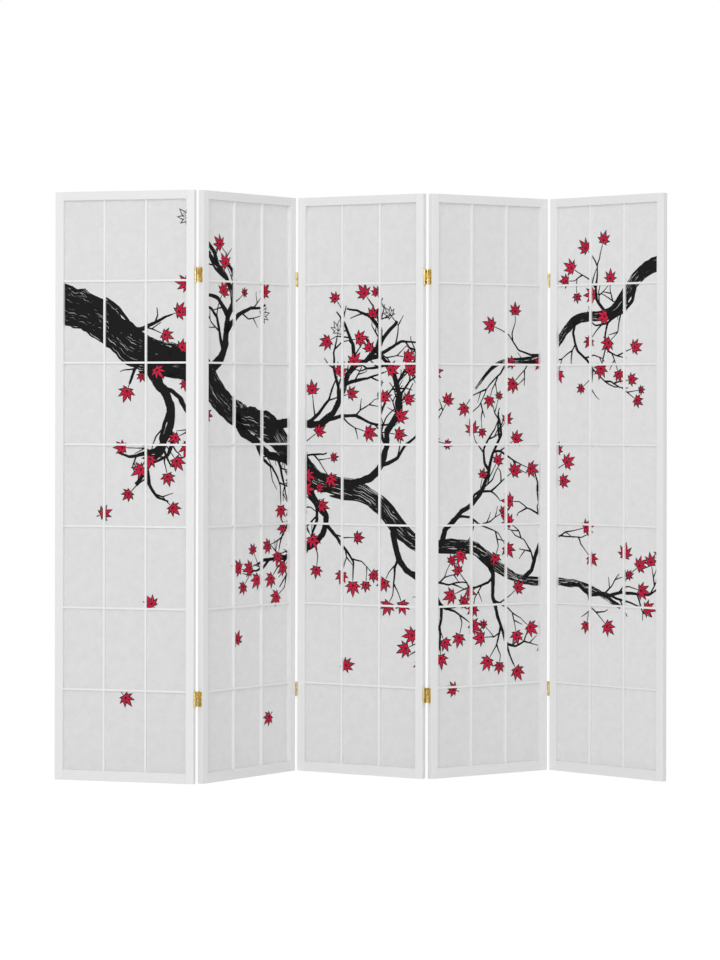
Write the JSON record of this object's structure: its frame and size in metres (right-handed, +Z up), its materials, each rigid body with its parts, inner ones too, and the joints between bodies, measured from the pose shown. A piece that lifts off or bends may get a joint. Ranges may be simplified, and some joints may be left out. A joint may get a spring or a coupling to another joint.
{
  "type": "folding screen",
  "caption": "Free-standing folding screen: white wood frames with a flush lattice over paper, joined edge to edge by double-acting brass hinges so that each fold closes either way.",
  "frame": {"origin": "on the floor, under the middle of the standing screen's box", "axes": "+X from left to right as seen from the front, +Y from the front to the back, +Z up"},
  "size_m": [1.8568, 0.417, 1.784],
  "materials": {
    "frame_paint": "satin",
    "lattice_paint": "satin",
    "screen_paper": "matte",
    "hinge_brass": "polished",
    "screw_brass": "polished"
  },
  "bodies": {
    "panel_1": {"panel_1_left_stile": "frame_paint", "panel_1_right_stile": "frame_paint", "panel_1_top_rail": "frame_paint", "panel_1_bottom_rail": "frame_paint", "panel_1_lattice_bars": "lattice_paint", "panel_1_paper": "screen_paper", "panel_1_hinge_screws": "screw_brass", "fold_1_left_leaves": "hinge_brass"},
    "panel_2": {"panel_2_left_stile": "frame_paint", "panel_2_right_stile": "frame_paint", "panel_2_top_rail": "frame_paint", "panel_2_bottom_rail": "frame_paint", "panel_2_lattice_bars": "lattice_paint", "panel_2_paper": "screen_paper", "panel_2_hinge_screws": "screw_brass", "fold_2_left_leaves": "hinge_brass", "fold_1_right_leaves": "hinge_brass"},
    "panel_3": {"panel_3_left_stile": "frame_paint", "panel_3_right_stile": "frame_paint", "panel_3_top_rail": "frame_paint", "panel_3_bottom_rail": "frame_paint", "panel_3_lattice_bars": "lattice_paint", "panel_3_paper": "screen_paper", "panel_3_hinge_screws": "screw_brass", "fold_3_left_leaves": "hinge_brass", "fold_2_right_leaves": "hinge_brass"},
    "panel_4": {"panel_4_left_stile": "frame_paint", "panel_4_right_stile": "frame_paint", "panel_4_top_rail": "frame_paint", "panel_4_bottom_rail": "frame_paint", "panel_4_lattice_bars": "lattice_paint", "panel_4_paper": "screen_paper", "panel_4_hinge_screws": "screw_brass", "fold_4_left_leaves": "hinge_brass", "fold_3_right_leaves": "hinge_brass"},
    "panel_5": {"panel_5_left_stile": "frame_paint", "panel_5_right_stile": "frame_paint", "panel_5_top_rail": "frame_paint", "panel_5_bottom_rail": "frame_paint", "panel_5_lattice_bars": "lattice_paint", "panel_5_paper": "screen_paper", "panel_5_hinge_screws": "screw_brass", "fold_4_right_leaves": "hinge_brass"},
    "fold_1_centre": {"fold_1_centre_leaves": "hinge_brass", "fold_1_hinge_pins": "hinge_brass"},
    "fold_2_centre": {"fold_2_centre_leaves": "hinge_brass", "fold_2_hinge_pins": "hinge_brass"},
    "fold_3_centre": {"fold_3_centre_leaves": "hinge_brass", "fold_3_hinge_pins": "hinge_brass"},
    "fold_4_centre": {"fold_4_centre_leaves": "hinge_brass", "fold_4_hinge_pins": "hinge_brass"}
  },
  "joints": [
    {"name": "fold_3_front_pin", "type": "hinge", "parent": "panel_3", "child": "fold_3_centre", "pos_m": [0.19238, -0.06429, 0.892], "axis": [0, 0, 1], "range_deg": [-155, 0]},
    {"name": "fold_3_back_pin", "type": "hinge", "parent": "fold_3_centre", "child": "panel_4", "pos_m": [0.20256, -0.0465, 0.892], "axis": [0, 0, 1], "range_deg": [-64, 116]},
    {"name": "fold_4_front_pin", "type": "hinge", "parent": "panel_4", "child": "fold_4_centre", "pos_m": [0.58793, 0.1906, 0.892], "axis": [0, 0, -1], "range_deg": [-77.3, 102.7]},
    {"name": "fold_4_back_pin", "type": "hinge", "parent": "fold_4_centre", "child": "panel_5", "pos_m": [0.60193, 0.20557, 0.892], "axis": [0, 0, -1], "range_deg": [-180, 0]},
    {"name": "fold_2_back_pin", "type": "hinge", "parent": "panel_3", "child": "fold_2_centre", "pos_m": [-0.18967, 0.17813, 0.892], "axis": [0, 0, 1], "range_deg": [-180, 0]},
    {"name": "fold_2_front_pin", "type": "hinge", "parent": "fold_2_centre", "child": "panel_2", "pos_m": [-0.19985, 0.16034, 0.892], "axis": [0, 0, 1], "range_deg": [-82.3, 97.7]},
    {"name": "fold_1_back_pin", "type": "hinge", "parent": "panel_2", "child": "fold_1_centre", "pos_m": [-0.49128, -0.18578, 0.892], "axis": [0, 0, -1], "range_deg": [-68.1, 111.9]},
    {"name": "fold_1_front_pin", "type": "hinge", "parent": "fold_1_centre", "child": "panel_1", "pos_m": [-0.49679, -0.20552, 0.892], "axis": [0, 0, -1], "range_deg": [-180, 0]}
  ]
}
